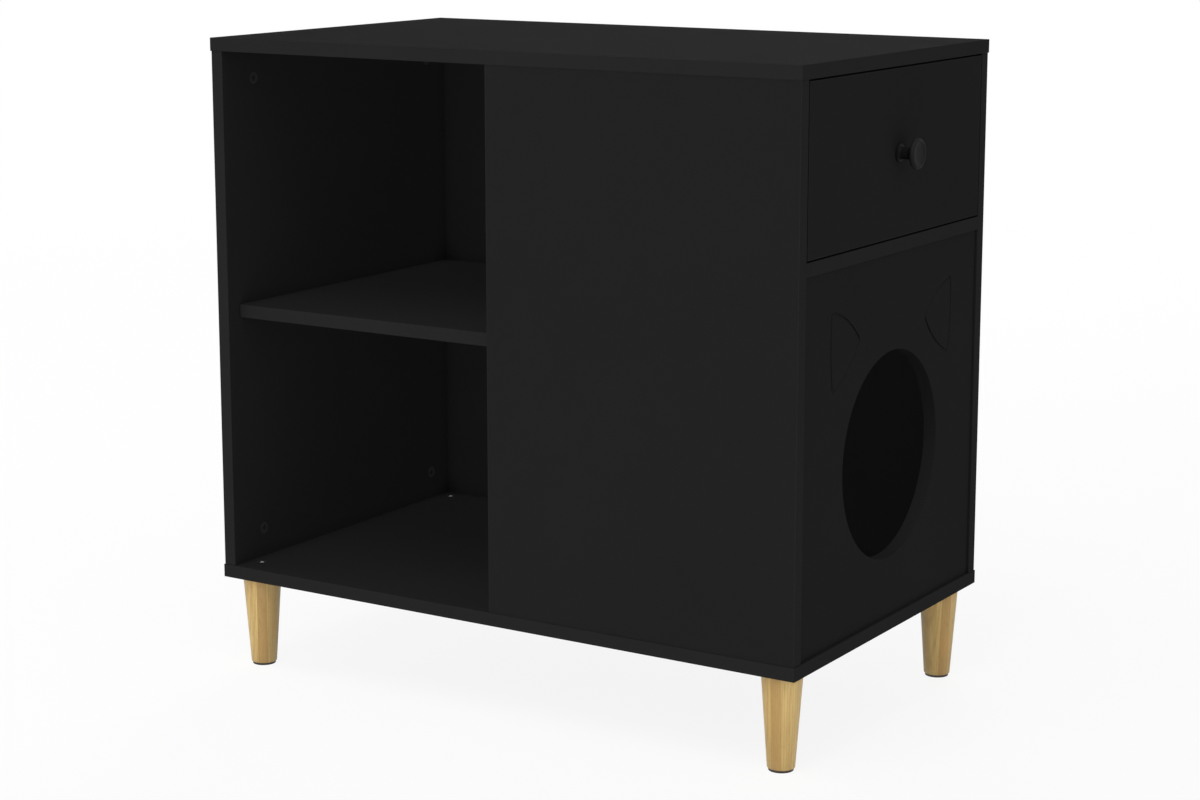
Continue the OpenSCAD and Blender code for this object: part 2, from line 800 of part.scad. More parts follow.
module fixed_runner_screw_cuts() {
    at_fixed_screws() runner_screw_cut();
}

module moving_runner_screw_cuts() {
    at_moving_screws() runner_screw_cut();
}

module fixed_runner_screw_holes() {
    for (side = [0, 1]) at_runner(side) fixed_runner_screw_cuts();
}

module moving_runner_screw_holes() {
    for (side = [0, 1]) at_runner(side) moving_runner_screw_cuts();
}

module fixed_runner_screws() {
    color(zinc) in_place() for (side = [0, 1]) at_runner(side) at_fixed_screws() runner_screw();
}

module moving_runner_screws() {
    color(zinc) in_place() for (side = [0, 1]) at_runner(side) at_moving_screws() runner_screw();
}

// Legs, with the bolt that holds each one and the glide under it
module leg(i) {
    color(pale_wood) in_place() translate(leg_spots[i]) difference() {
        translate([0, 0, -leg_len]) {
            cylinder(h = leg_chamfer, r1 = leg_foot_dia / 2 - leg_chamfer, r2 = leg_foot_dia / 2);
            translate([0, 0, leg_chamfer])
                cylinder(h = leg_len - leg_chamfer, r1 = leg_foot_dia / 2, r2 = leg_top_dia / 2);
        }
        translate([0, 0, -leg_bolt_in_leg - hole_play])
            cylinder(h = leg_bolt_in_leg + hole_play + cut, r = leg_bolt_dia / 2 + hole_play);
    }
}

module leg_front_left() {
    leg(0);
}

module leg_front_right() {
    leg(1);
}

module leg_back_left() {
    leg(2);
}

module leg_back_right() {
    leg(3);
}

module glide(i) {
    color(brown_plastic) in_place() translate(leg_spots[i]) translate([0, 0, -legs_h])
        cylinder(h = glide_t, r = glide_dia / 2);
}

module glide_front_left() {
    glide(0);
}

module glide_front_right() {
    glide(1);
}

module glide_back_left() {
    glide(2);
}

module glide_back_right() {
    glide(3);
}

module leg_bolts() {
    color(zinc) in_place() for (spot = leg_spots)
        translate(spot) translate([0, 0, -leg_bolt_in_leg])
            cylinder(h = leg_bolt_in_leg + board_t - bolt_end_sink, r = leg_bolt_dia / 2);
}

module leg_inserts() {
    color(dark_zinc) in_place() for (spot = leg_spots)
        translate(spot) translate([0, 0, insert_ledge]) difference() {
            cylinder(h = board_t - insert_ledge, r = insert_dia / 2);
            translate([0, 0, -cut]) cylinder(h = board_t + cut, r = leg_bolt_dia / 2 + hole_play);
        }
}

// Cam locks, cam bolts and dowels of the cabinet and of the drawer
module cam_locks() {
    color(dark_zinc) in_place() cams(cabinet_joints);
}

module cam_bolts() {
    color(zinc) in_place() cam_bolt_set(cabinet_joints);
}

module wooden_dowels() {
    color(dowel_wood) in_place() dowel_set(cabinet_joints);
}

module drawer_cam_locks() {
    color(dark_zinc) in_place() cams(drawer_joints);
}

module drawer_cam_bolts() {
    color(zinc) in_place() cam_bolt_set(drawer_joints);
}

module drawer_dowels() {
    color(dowel_wood) in_place() dowel_set(drawer_joints);
}

top_panel();
bottom_panel();
left_side_panel();
front_panel();
back_panel();
partition_panel();
bay_shelf();
cross_divider();
entrance_panel();
shelf_pins();
drawer_front();
drawer_side_front();
drawer_side_rear();
drawer_back();
drawer_bottom();
drawer_knob();
knob_screw();
fixed_runner_front();
fixed_runner_rear();
moving_runner_front();
moving_runner_rear();
fixed_roller_front();
fixed_roller_rear();
moving_roller_front();
moving_roller_rear();
fixed_axles();
moving_axles();
leg_front_left();
leg_front_right();
leg_back_left();
leg_back_right();
glide_front_left();
glide_front_right();
glide_back_left();
glide_back_right();
leg_bolts();
leg_inserts();
cam_locks();
cam_bolts();
wooden_dowels();
drawer_cam_locks();
drawer_cam_bolts();
drawer_dowels();
drawer_back_screws();
drawer_bottom_screws();
fixed_runner_screws();
moving_runner_screws();
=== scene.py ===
import math

import bmesh
import bpy
import numpy as np
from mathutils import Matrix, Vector


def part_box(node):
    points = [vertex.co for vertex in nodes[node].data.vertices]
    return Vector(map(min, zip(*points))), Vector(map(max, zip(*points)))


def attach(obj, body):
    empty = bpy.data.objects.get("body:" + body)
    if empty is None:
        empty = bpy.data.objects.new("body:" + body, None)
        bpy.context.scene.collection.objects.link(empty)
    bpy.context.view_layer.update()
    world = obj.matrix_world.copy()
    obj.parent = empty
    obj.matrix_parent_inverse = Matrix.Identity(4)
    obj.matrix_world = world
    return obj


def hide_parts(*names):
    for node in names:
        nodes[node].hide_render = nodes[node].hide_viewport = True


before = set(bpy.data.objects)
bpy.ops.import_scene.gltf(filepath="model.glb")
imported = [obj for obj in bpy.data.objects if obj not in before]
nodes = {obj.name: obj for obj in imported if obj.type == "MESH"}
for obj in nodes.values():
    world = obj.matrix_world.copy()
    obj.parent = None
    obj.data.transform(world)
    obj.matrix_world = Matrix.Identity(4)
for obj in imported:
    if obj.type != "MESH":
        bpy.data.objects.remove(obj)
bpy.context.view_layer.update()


# The bottom panel, first on the floor when the cabinet is put together: 15 mm particle board pressed
# between two sheets of black melamine with a fine pearl texture, and its four edges taped. Every
# other board of the carcass is cut from the same stock, so its finish is made here.
class Reading:
    """A value read over a surface. Arithmetic on it adds Math nodes to its material."""

    def __init__(self, finish, socket):
        self.finish = finish
        self.socket = socket

    def math(self, operation, *values):
        sockets = dict(enumerate(values))
        return self.finish.node("ShaderNodeMath", {"operation": operation}, sockets)

    def __add__(self, other):
        return self.math("ADD", self, other)

    def __radd__(self, other):
        return self.math("ADD", other, self)

    def __sub__(self, other):
        return self.math("SUBTRACT", self, other)

    def __rsub__(self, other):
        return self.math("SUBTRACT", other, self)

    def __mul__(self, other):
        return self.math("MULTIPLY", self, other)

    def __rmul__(self, other):
        return self.math("MULTIPLY", other, self)

    def __truediv__(self, other):
        return self.math("DIVIDE", self, other)

    def __abs__(self):
        return self.math("ABSOLUTE", self)

    def __pow__(self, other):
        return self.math("POWER", self, other)

    def __gt__(self, other):
        return self.math("GREATER_THAN", self, other)

    def __lt__(self, other):
        return self.math("LESS_THAN", self, other)

    def either(self, other):
        return self.math("MAXIMUM", self, other)

    def sine(self):
        return self.math("SINE", self)

    def rise(self, start, stop):
        """0 below start and 1 above stop, with a smooth slope between."""
        settings = {"interpolation_type": "SMOOTHSTEP"}
        return self.finish.node("ShaderNodeMapRange", settings, {0: self, 1: start, 2: stop})


class Finish:
    """A finish under construction: one method adds any node, and the rest name common ones."""

    def __init__(self, owner):
        self.owner = owner
        owner.use_nodes = True
        self.tree = owner.node_tree
        self.tree.nodes.clear()

    def node(self, kind, settings=None, sockets=None, output=0):
        """Adds a node: its settings come first, then its sockets' values or links."""
        made = self.tree.nodes.new(kind)
        for name, value in (settings or {}).items():
            setattr(made, name, value)
        for name, value in (sockets or {}).items():
            if isinstance(value, Reading):
                self.tree.links.new(value.socket, made.inputs[name])
            else:
                made.inputs[name].default_value = value
        return Reading(self, made.outputs[output]) if made.outputs else made

    def place(self, centre=(0, 0, 0), turn=0.0):
        """The point on the surface, in metres from a centre, turned about the vertical."""
        point = self.node("ShaderNodeTexCoord", output="Object")
        sockets = {"Vector": point, "Location": tuple(centre), "Rotation": (0, 0, turn)}
        return self.node("ShaderNodeMapping", {"vector_type": "TEXTURE"}, sockets)

    def stretch(self, place, scale, shift=(0, 0, 0)):
        """A point times scale plus shift. A scale below 1 draws a pattern out that way."""
        scaled = self.node("ShaderNodeVectorMath", {"operation": "MULTIPLY"}, {0: place, 1: scale})
        return self.node("ShaderNodeVectorMath", {"operation": "ADD"}, {0: scaled, 1: shift})

    def apart(self, place):
        """The three numbers of a point."""
        return [self.node("ShaderNodeSeparateXYZ", None, {0: place}, k) for k in range(3)]

    def noise(self, place, scale, detail=2.0, rough=0.5):
        """Soft noise around 0.5, with scale lumps to a metre and detail finer layers over them."""
        sockets = {"Vector": place, "Scale": scale, "Detail": detail, "Roughness": rough}
        return self.node("ShaderNodeTexNoise", None, sockets)

    def blend(self, share, first, second):
        """A colour between two others."""
        settings = {"data_type": "RGBA"}
        first = first if isinstance(first, Reading) else (*first, 1)
        second = second if isinstance(second, Reading) else (*second, 1)
        return self.node("ShaderNodeMix", settings, {0: share, 6: first, 7: second}, 2)

    def bump(self, height, distance, strength=1.0, normal=None):
        """The normal of a surface that stands up by height times distance, in metres."""
        sockets = {"Height": height, "Distance": distance, "Strength": strength}
        if normal is not None:
            sockets["Normal"] = normal
        return self.node("ShaderNodeBump", None, sockets)

    def clear(self, reach):
        """1 in the open, less where other surfaces stand within reach."""
        return self.node("ShaderNodeAmbientOcclusion", {"samples": 6}, {"Distance": reach}, "AO")

    def scaled(self, colour, share):
        """A colour times a number."""
        return self.node("ShaderNodeVectorMath", {"operation": "SCALE"}, {0: colour, "Scale": share})

    def surface(self, **sockets):
        """The shader itself. Its plain numbers go straight onto its sockets."""
        named = {name.replace("_", " "): value for name, value in sockets.items()}
        named["Specular IOR Level"] = named.pop("Specular", 0.5)
        shader = self.node("ShaderNodeBsdfPrincipled", None, named)
        self.node("ShaderNodeOutputMaterial", None, {"Surface": shader})
        return self.owner


def dress(name, finish):
    """Gives every material slot of a CAD node the same finish."""
    for k in range(len(nodes[name].material_slots)):
        nodes[name].material_slots[k].material = finish


def box_of(name):
    """The low and the high corner of a CAD node."""
    return [np.array(corner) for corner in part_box(name)]


MELAMINE = (0.0145, 0.0145, 0.0147)
TAPE = (0.0176, 0.0176, 0.0179)
# The black paint in the routed grooves, a little lighter than the face as painted light against their
# shadow.
ROUTED_PAINT_AND_LIGHT = (0.0185, 0.0185, 0.0185)
TAPE_T = 0.001
BOARD_ARRIS = 0.0006
BOARD_SHEEN = 0.0018
PEARL_HEIGHT = 0.00012
# Painted shade in the gaps and corners between boards: how far it reaches, how open a point must be to
# be clear of it, and the least share of the tone it leaves.
CORNER_REACH = 0.035
CORNER_OPEN = 0.68
CORNER_LIGHT = 0.10


def melamine(name, routed=None):
    """Black melamine on a board. The tape is wherever a point lies within its thickness of one of
    the board's four edge planes. The gaps and the corners between boards get painted shade, darker
    down to CORNER_LIGHT of the tone. routed, if given, tells where the core was cut and painted."""
    low, high = box_of(name)
    half = (high - low) / 2
    finish = Finish(bpy.data.materials.new(f"melamine_{name}"))
    place = finish.place((low + high) / 2)
    across = finish.apart(place)
    faces = int(np.argmin(half))
    edges = [abs(across[axis]) > half[axis] - TAPE_T for axis in range(3) if axis != faces]
    tape = edges[0].either(edges[1])
    cloud = finish.noise(place, 4.0)
    handled = finish.noise(place, 19.0, 3.0, 0.6)
    pearl = finish.noise(place, 1500.0, 2.0, 0.6)
    hammered = finish.noise(place, 520.0, 2.0, 0.6)
    grain = pearl.rise(0.35, 0.65)
    colour = finish.blend(tape, MELAMINE, TAPE)
    tone = 0.74 + 0.12 * cloud + 0.08 * handled + 0.10 * hammered + 0.24 * grain
    rough = 0.70 + 0.20 * handled + 0.10 * pearl - 0.05 * tape
    height = 0.6 * pearl + 1.2 * hammered
    corner = finish.clear(CORNER_REACH)
    if routed is not None:
        cut = routed(finish, place)
        corner = corner.either(cut)
        # The routed core's colour is black paint with painted light: lighter than the face, to offset
        # the groove's shadow.
        colour = finish.blend(cut, colour, ROUTED_PAINT_AND_LIGHT)
        rough = rough + 0.08 * cut
        height = height + 4.0 * cut * finish.noise(place, 900.0, 3.0, 0.7)
    # Painted shade: the tone falls towards CORNER_LIGHT where other surfaces stand within CORNER_REACH.
    tone = tone * (CORNER_LIGHT + (1 - CORNER_LIGHT) * corner.rise(0.0, CORNER_OPEN))
    shade = finish.scaled(colour, tone)
    softened = finish.node("ShaderNodeBevel", {"samples": 4}, {"Radius": BOARD_ARRIS})
    normal = finish.bump(height, PEARL_HEIGHT, 0.6, softened)
    return finish.surface(Base_Color=shade, Roughness=rough, Normal=normal, Specular=BOARD_SHEEN)


dress("bottom_panel", melamine("bottom_panel"))


# Four round legs, turned from pale wood that is glued up from three staves, sanded and lacquered.
# Each tapers towards a softly rounded foot and is drilled from the top for its bolt.
LEG_FOOT_R = 0.015
LEG_TOP_R = 0.0225
FOOT_ROUND = 0.0014
TOP_ARRIS = 0.0004
LEG_BORE_R = 0.0041
LEG_BORE_DEEP = 0.0351
SMOOTH_UP_TO = 35


def sweep(start, stop, count):
    """Angles from start to stop, in degrees, both ends kept."""
    return np.radians(np.linspace(start, stop, count))


def rounding(r, h, radius, angles):
    """Points of a circle's arc about (r, h)."""
    return np.stack([r + radius * np.cos(angles), h + radius * np.sin(angles)], 1)


def turned(name, profile, centre, axis=(0, 0, 1), steps=96, bored=False):
    """A turned solid. At angle a, the profile's point (r, h) lies h along the axis from the centre
    and r away from it, along cos a times one cross direction plus sin a times the other. A bored
    one has a profile that closes on itself and never meets the axis."""
    along = np.array(axis, float)
    side = np.array((1.0, 0, 0)) if along[2] else np.array((0, 0, 1.0))
    other = np.cross(along, side)
    angle = np.linspace(0, 2 * np.pi, steps, endpoint=False)
    ring = np.cos(angle)[:, None] * side + np.sin(angle)[:, None] * other
    radius, height = np.asarray(profile, float).T
    points = np.asarray(centre) + height[:, None, None] * along + radius[:, None, None] * ring
    return woven(name, [points], bored)


def woven(name, grids, bored=False):
    """Joins each grid of points with four-sided faces, closed round its columns, and round its rows
    too if bored; then merges what coincides and turns the faces outwards."""
    points, quads, count = [], [], 0
    for grid in grids:
        rows, columns = grid.shape[:2]
        index = count + np.arange(rows * columns).reshape(rows, columns)
        index = np.concatenate([index, index[:, :1]], 1)
        index = np.concatenate([index, index[:1]], 0) if bored else index
        corners = [index[:-1, :-1], index[:-1, 1:], index[1:, 1:], index[1:, :-1]]
        quads.append(np.stack(corners, -1).reshape(-1, 4))
        points.append(grid.reshape(-1, 3))
        count += rows * columns
    mesh = bpy.data.meshes.new(name)
    mesh.from_pydata(np.concatenate(points).tolist(), [], np.concatenate(quads).tolist())
    work = bmesh.new()
    work.from_mesh(mesh)
    bmesh.ops.remove_doubles(work, verts=work.verts, dist=1e-7)
    bmesh.ops.recalc_face_normals(work, faces=work.faces)
    work.to_mesh(mesh)
    work.free()
    mesh.shade_smooth()
    mesh.set_sharp_from_angle(angle=math.radians(SMOOTH_UP_TO))
    piece = bpy.data.objects.new(name, mesh)
    bpy.context.scene.collection.objects.link(piece)
    return piece


def leg_profile(height):
    """Foot, taper, top and bore, as points of radius and height above the foot."""
    lean = math.degrees(math.atan2(LEG_TOP_R - LEG_FOOT_R, height))
    foot = rounding(LEG_FOOT_R - FOOT_ROUND, FOOT_ROUND, FOOT_ROUND, sweep(-90, -lean, 9))
    top = rounding(LEG_TOP_R - TOP_ARRIS, height - TOP_ARRIS, TOP_ARRIS, sweep(-lean, 90, 5))
    shares = np.linspace(0, 1, 14)[1:-1, None]
    taper = foot[-1] + shares * (top[0] - foot[-1])
    floor = height - LEG_BORE_DEEP
    bore = [(LEG_BORE_R, height), (LEG_BORE_R, floor), (0, floor)]
    return np.concatenate([[(0, 0)], foot, taper, top, bore])


PALE_WOOD = (0.640, 0.450, 0.170)
GOLD_WOOD = (0.490, 0.328, 0.108)
BROWN_WOOD = (0.300, 0.165, 0.050)
GREY_WOOD = (0.330, 0.240, 0.105)
LATE_WOOD = (0.330, 0.190, 0.062)
WARM_WOOD = (0.500, 0.270, 0.080)
PORE_BROWN = (0.180, 0.098, 0.036)
LEFT_SEAM = -0.0062
RIGHT_SEAM = 0.0046
SEAM_BLUR = 0.0002
SEAM_HALF = 0.00014
RING_GAP = 0.0031
MIDDLE_RING_LESS = 0.0009
RING_SLANT = 0.45
RING_BEND = 9.0
LACQUER = 0.12
SHADE_REACH = 0.30


def leg_wood(name, centre, turn, seed, light):
    """Lacquered pale wood, in staves side by side across the leg, the middle one browner. Each stave
    reads its pattern from a place of its own. Growth rings are waves across the stave, at a slant,
    bent by noise stretched up the leg. Streaks and pores are finer noise, stretched into long lines
    and short dashes. light scales this leg's colour, and painted shade darkens it near the cabinet
    and the floor, most at its top and on its side under the cabinet."""
    finish = Finish(bpy.data.materials.new(f"wood_{name}"))
    place = finish.place(centre, turn)
    across, deep = finish.apart(place)[:2]
    right = across.rise(RIGHT_SEAM - SEAM_BLUR, RIGHT_SEAM + SEAM_BLUR)
    middle = across.rise(LEFT_SEAM - SEAM_BLUR, LEFT_SEAM + SEAM_BLUR) - right
    moves = {0: middle * 3.7 + right * 7.1 + seed, 1: middle * 1.9, 2: seed}
    shift = finish.node("ShaderNodeCombineXYZ", None, moves)
    lines = finish.stretch(place, (1, 1, 0.045), shift)
    figure = finish.noise(lines, 95.0, 3.0, 0.55)
    growth = finish.noise(lines, 420.0, 4.0, 0.6)
    bend = finish.noise(finish.stretch(place, (1, 1, 0.12), shift), 55.0)
    streak = finish.noise(finish.stretch(place, (1, 1, 0.02), shift), 900.0, 2.0, 0.6)
    pores = finish.noise(finish.stretch(place, (1, 1, 0.05), shift), 1700.0, 2.0, 0.6)
    blush = finish.noise(finish.stretch(place, (1, 1, 0.3), shift), 60.0)
    gap = RING_GAP - MIDDLE_RING_LESS * middle
    ring = (2 * math.pi * (across + RING_SLANT * deep) / gap + RING_BEND * bend + seed).sine()
    pale = finish.blend(figure.rise(0.30, 0.70), PALE_WOOD, GOLD_WOOD)
    stave = finish.blend(right, BROWN_WOOD, GREY_WOOD)
    toned = finish.blend(0.62 * middle + 0.30 * right, pale, stave)
    ringed = finish.blend(0.30 * ring.rise(0.1, 1.0), toned, LATE_WOOD)
    lined = finish.blend(0.45 * growth.rise(0.50, 0.72), ringed, LATE_WOOD)
    streaked = finish.blend((0.25 + 0.35 * middle) * streak.rise(0.56, 0.72), lined, BROWN_WOOD)
    warm = finish.blend(0.45 * blush.rise(0.52, 0.75), streaked, WARM_WOOD)
    pored = finish.blend(0.50 * pores.rise(0.63, 0.74), warm, PORE_BROWN)
    seam = (abs(across - LEFT_SEAM) < SEAM_HALF).either(abs(across - RIGHT_SEAM) < SEAM_HALF)
    seamed = finish.blend(0.5 * seam, pored, PORE_BROWN)
    # Painted shade: the colour darkens where the cabinet and the floor stand within SHADE_REACH.
    shaded = 0.50 + 0.60 * finish.clear(SHADE_REACH).rise(0.12, 0.70)
    colour = finish.scaled(seamed, light * shaded)
    normal = finish.bump(growth - 0.6 * pores.rise(0.6, 0.74), 0.00005, 0.5)
    return finish.surface(Base_Color=colour, Roughness=0.42 + 0.14 * growth, Normal=normal,
                          Coat_Weight=LACQUER, Coat_Roughness=0.30, Specular=0.35)


# How far each leg's staves are turned about it, in radians, and a factor on its colour. Each leg's
# pattern also lies one step further on in the noise than the last one's.
LEGS = {"front_left": (0.66, 0.98), "front_right": (0.20, 1.12), "back_left": (2.1, 1.0),
        "back_right": (0.95, 1.0)}
PATTERN_STEP = 2.3
for k, (corner, (turn, light)) in enumerate(LEGS.items()):
    low, high = box_of(f"leg_{corner}")
    base = np.array([*(low + high)[:2] / 2, low[2]])
    leg = turned(f"turned_leg_{corner}", leg_profile(high[2] - low[2]), base)
    leg.data.materials.append(leg_wood(corner, base, turn, PATTERN_STEP * k, light))
    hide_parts(f"leg_{corner}")
    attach(leg, "cabinet")


# A glide of dark brown moulded plastic is nailed under each foot, so that it stands and slides
# without marking the floor.
MOULDED_BROWN = (0.020, 0.013, 0.009)
RUBBED_BROWN = (0.034, 0.024, 0.018)

moulded = Finish(bpy.data.materials.new("moulded_brown"))
moulded_place = moulded.place()
moulded_grain = moulded.noise(moulded_place, 1400.0, 2.0, 0.6)
moulded_rub = moulded.noise(moulded.stretch(moulded_place, (1, 0.2, 1)), 500.0)
moulded_tone = moulded.blend(moulded_rub.rise(0.5, 0.8), MOULDED_BROWN, RUBBED_BROWN)
moulded_normal = moulded.bump(moulded_grain, 0.00003, 0.4)
moulded_finish = moulded.surface(Base_Color=moulded_tone, Roughness=0.42 + 0.16 * moulded_grain,
                                 Normal=moulded_normal, Specular=0.4)
for corner in LEGS:
    dress(f"glide_{corner}", moulded_finish)


# An M8 hanger bolt holds each leg. It is bright zinc on steel, with a rolled thread, and its plain
# chamfered end shows in the bay floor. It runs in a dark threaded insert pressed into the panel.
BOLT_R = 0.004
BOLT_PITCH = 0.00125
BOLT_THREAD_DEEP = 0.00055
BOLT_CHAMFER = 0.0016
ROWS_PER_TURN = 7


def bolt_thread(centre, radius, length, steps=32):
    """A threaded rod. The radius at angle a and height h is the rod's, less the thread's depth times
    twice how far h, counted in turns and less a's share of a turn, is from the nearest whole number.
    Nearer to an end than the chamfer, it is also at most the rod's less what is left of the chamfer,
    and a flat disc closes each end."""
    rows = int(length / BOLT_PITCH * ROWS_PER_TURN)
    height = np.linspace(0, length, rows)[:, None]
    angle = np.linspace(0, 2 * np.pi, steps, endpoint=False)[None, :]
    turns = height / BOLT_PITCH - angle / (2 * np.pi)
    off_crest = 2 * np.abs(turns - np.round(turns))
    end = np.minimum(height, length - height)
    chamfer = np.clip(BOLT_CHAMFER - end, 0, None)
    reach = np.minimum(radius - BOLT_THREAD_DEEP * off_crest, radius - chamfer)
    ends = np.zeros((1, steps))
    reach = np.concatenate([ends, reach, ends])
    height = np.concatenate([[[0]], height, [[length]]])
    grid = np.stack([reach * np.cos(angle), reach * np.sin(angle), height + 0 * reach], -1)
    return centre + grid


ZINC = (0.68, 0.69, 0.72)
BLACKENED_ZINC = (0.028, 0.028, 0.030)
PLATING_SHADE_REACH = 0.004


def plated(name, colour, metal, rough, grain, gloss):
    """Bright or dark plating over metal: soft scratches, a faint change of tone, and painted shade in
    tight corners. metal is how much of it mirrors, as against the chalky bloom that zinc takes on, and
    grain is how far the cast surface under it shows beside the scratches."""
    finish = Finish(bpy.data.materials.new(name))
    place = finish.place()
    patches = finish.noise(place, 90.0, 3.0, 0.6)
    scratches = finish.noise(finish.stretch(place, (1, 1, 0.15)), 3200.0, 2.0, 0.7)
    worn = finish.blend(patches.rise(0.25, 0.75), tuple(0.82 * c for c in colour), colour)
    # Painted shade: the tone darkens where other surfaces stand within PLATING_SHADE_REACH.
    tone = finish.scaled(worn, 0.12 + 0.88 * finish.clear(PLATING_SHADE_REACH).rise(0.45, 0.95))
    normal = finish.bump(scratches + grain * finish.noise(place, 1400.0), 0.00002, 0.5)
    return finish.surface(Base_Color=tone, Metallic=metal, Roughness=rough + 0.16 * scratches,
                          Normal=normal, Specular=gloss)


bright_zinc = plated("bright_zinc", ZINC, metal=0.45, rough=0.28, grain=0.2, gloss=0.5)
dark_zinc = plated("dark_zinc", BLACKENED_ZINC, metal=0.25, rough=0.42, grain=1.0, gloss=0.12)
low, high = box_of("leg_bolts")
bolt_spots = [np.array((x, y, low[2])) for x in (low[0] + BOLT_R, high[0] - BOLT_R)
              for y in (low[1] + BOLT_R, high[1] - BOLT_R)]
bolts = woven("hanger_bolts", [bolt_thread(spot, BOLT_R, high[2] - low[2]) for spot in bolt_spots])
bolts.data.materials.append(bright_zinc)
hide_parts("leg_bolts")
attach(bolts, "cabinet")
dress("leg_inserts", dark_zinc)


# The four uprights of the carcass, of the same board: the left side, the front over the cat room,
# the back behind the whole width, and the partition between the bay and the cat room. Each stands
# on the bottom panel, held by dowels and cam bolts.
for board in ("left_side_panel", "front_panel", "back_panel", "partition_panel"):
    dress(board, melamine(board))


# The cross divider between the drawer's space and the cat room, and the shelf that lies in the bay
# on four steel pins, a little short of the front.
for board in ("cross_divider", "bay_shelf"):
    dress(board, melamine(board))
dress("shelf_pins", bright_zinc)


# The entrance panel closes the end of the cat room. A router cuts its round hole, which is taped,
# and draws two cat's ears beside it with a shallow groove, whose bare core is painted black. That
# black is a little lighter than the face, as painted light against the groove's shadow.
HOLE_R = 0.115
HOLE_UP = 0.3055
GROOVE_DEEP = 0.002


def ear_groove(finish, place):
    """1 where the surface lies below the outer face, clear of the hole and of the panel's edges."""
    low, high = box_of("entrance_panel")
    middle, half = (low + high) / 2, (high - low) / 2
    x, y, z = finish.apart(place)
    radius = (y * y + (z - (HOLE_UP - middle[2])) ** 2.0) ** 0.5
    sunk = (x < half[0] - 0.0001) * (x > half[0] - GROOVE_DEEP - 0.0002)
    inside = (abs(y) < half[1] - TAPE_T) * (abs(z) < half[2] - TAPE_T)
    return sunk * inside * (radius > HOLE_R + TAPE_T)


dress("entrance_panel", melamine("entrance_panel", ear_groove))


# The top panel, of the same board, comes last on the carcass. It is held from below by the cam
# bolts and dowels of the uprights, and stands 1 mm proud of them all round.
dress("top_panel", melamine("top_panel"))


# Flat-pack fittings: cam locks of die-cast zinc, blackened, sunk in the boards' inner faces; their
# steel bolts; and fluted beech dowels beside them. Most of them are hidden once it is together.
PALE_BEECH = (0.62, 0.46, 0.26)
BEECH_FLECK = (0.40, 0.26, 0.12)

beech = Finish(bpy.data.materials.new("beech"))
beech_flecks = beech.noise(beech.place(), 1500.0, 3.0, 0.6)
beech_colour = beech.blend(beech_flecks.rise(0.35, 0.7), PALE_BEECH, BEECH_FLECK)
beech_normal = beech.bump(beech_flecks, 0.0001, 0.6)
beech_finish = beech.surface(Base_Color=beech_colour, Roughness=0.7, Normal=beech_normal, Specular=0.3)
for fitting in ("cam_locks", "drawer_cam_locks"):
    dress(fitting, dark_zinc)
for fitting in ("cam_bolts", "drawer_cam_bolts"):
    dress(fitting, bright_zinc)
for fitting in ("wooden_dowels", "drawer_dowels"):
    dress(fitting, beech_finish)


# Two roller runners: a channel screwed to the cabinet and a rail under each drawer side, both of
# sheet steel with a white powder coat. A nylon roller turns on a rivet at one end of each.
POWDER_WHITE = (0.78, 0.78, 0.75)
POWDER_DULL = (0.72, 0.72, 0.69)
NYLON_WHITE = (0.82, 0.82, 0.77)
NYLON_DULL = (0.74, 0.74, 0.68)
ROLLER_BORE_R = 0.0026
ROLLER_CHAMFER = 0.0008
WEB_SUNK = 0.0011
HUB_R = 0.0047
RIM_T = 0.0024

coat = Finish(bpy.data.materials.new("powder_coat"))
coat_place = coat.place()
coat_peel = coat.noise(coat_place, 650.0)
coat_cloud = coat.noise(coat_place, 30.0, 3.0)
coat_tone = coat.blend(coat_cloud.rise(0.3, 0.7), POWDER_DULL, POWDER_WHITE)
coat_normal = coat.bump(coat_peel, 0.00006, 0.6)
coat_finish = coat.surface(Base_Color=coat_tone, Roughness=0.40 + 0.1 * coat_peel, Normal=coat_normal)
for side in ("front", "rear"):
    dress(f"fixed_runner_{side}", coat_finish)
    dress(f"moving_runner_{side}", coat_finish)
for fitting in ("fixed_axles", "moving_axles", "fixed_runner_screws", "moving_runner_screws"):
    dress(fitting, bright_zinc)

nylon = Finish(bpy.data.materials.new("nylon"))
nylon_place = nylon.place()
nylon_cloud = nylon.noise(nylon_place, 160.0, 3.0, 0.6)
nylon_tone = nylon.blend(nylon_cloud.rise(0.3, 0.7), NYLON_DULL, NYLON_WHITE)
nylon_normal = nylon.bump(nylon.noise(nylon_place, 2400.0), 0.00003, 0.5)
nylon_finish = nylon.surface(Base_Color=nylon_tone, Roughness=0.38 + 0.1 * nylon_cloud,
                             Normal=nylon_normal)


def roller_profile(radius, width):
    """Tread with chamfered edges and, on both sides, a sunk web between the hub and the rim, as
    points of radius and height. The second half is the first one mirrored, in reverse order."""
    rim = radius - RIM_T
    web = [(ROLLER_BORE_R, 0), (HUB_R, 0), (HUB_R, WEB_SUNK), (rim, WEB_SUNK), (rim, 0)]
    half = np.array([*web, (radius - ROLLER_CHAMFER, 0), (radius, ROLLER_CHAMFER)])
    return np.concatenate([half, (half * (1, -1) + (0, width))[::-1]])


for kind in ("fixed", "moving"):
    for side in ("front", "rear"):
        node = f"{kind}_roller_{side}"
        low, high = box_of(node)
        middle = (low + high) / 2
        profile = roller_profile((high[2] - low[2]) / 2, high[1] - low[1])
        start = (middle[0], low[1], middle[2])
        roller = turned(f"nylon_{node}", profile, start, (0, 1, 0), steps=64, bored=True)
        roller.data.materials.append(nylon_finish)
        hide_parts(node)
        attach(roller, node)


# The drawer: a front of carcass board, sides and back of thinner black board, and a hardboard
# bottom in their grooves, black above and bare brown below.
FIBRE_DARK = (0.105, 0.058, 0.028)
FIBRE_PALE = (0.165, 0.098, 0.050)
FILM_DARK = (0.0090, 0.0090, 0.0092)
FILM_PALE = (0.0125, 0.0125, 0.0128)
FILM_T = 0.0002

for board in ("drawer_front", "drawer_side_front", "drawer_side_rear", "drawer_back"):
    dress(board, melamine(board))
for fitting in ("drawer_back_screws", "drawer_bottom_screws"):
    dress(fitting, bright_zinc)

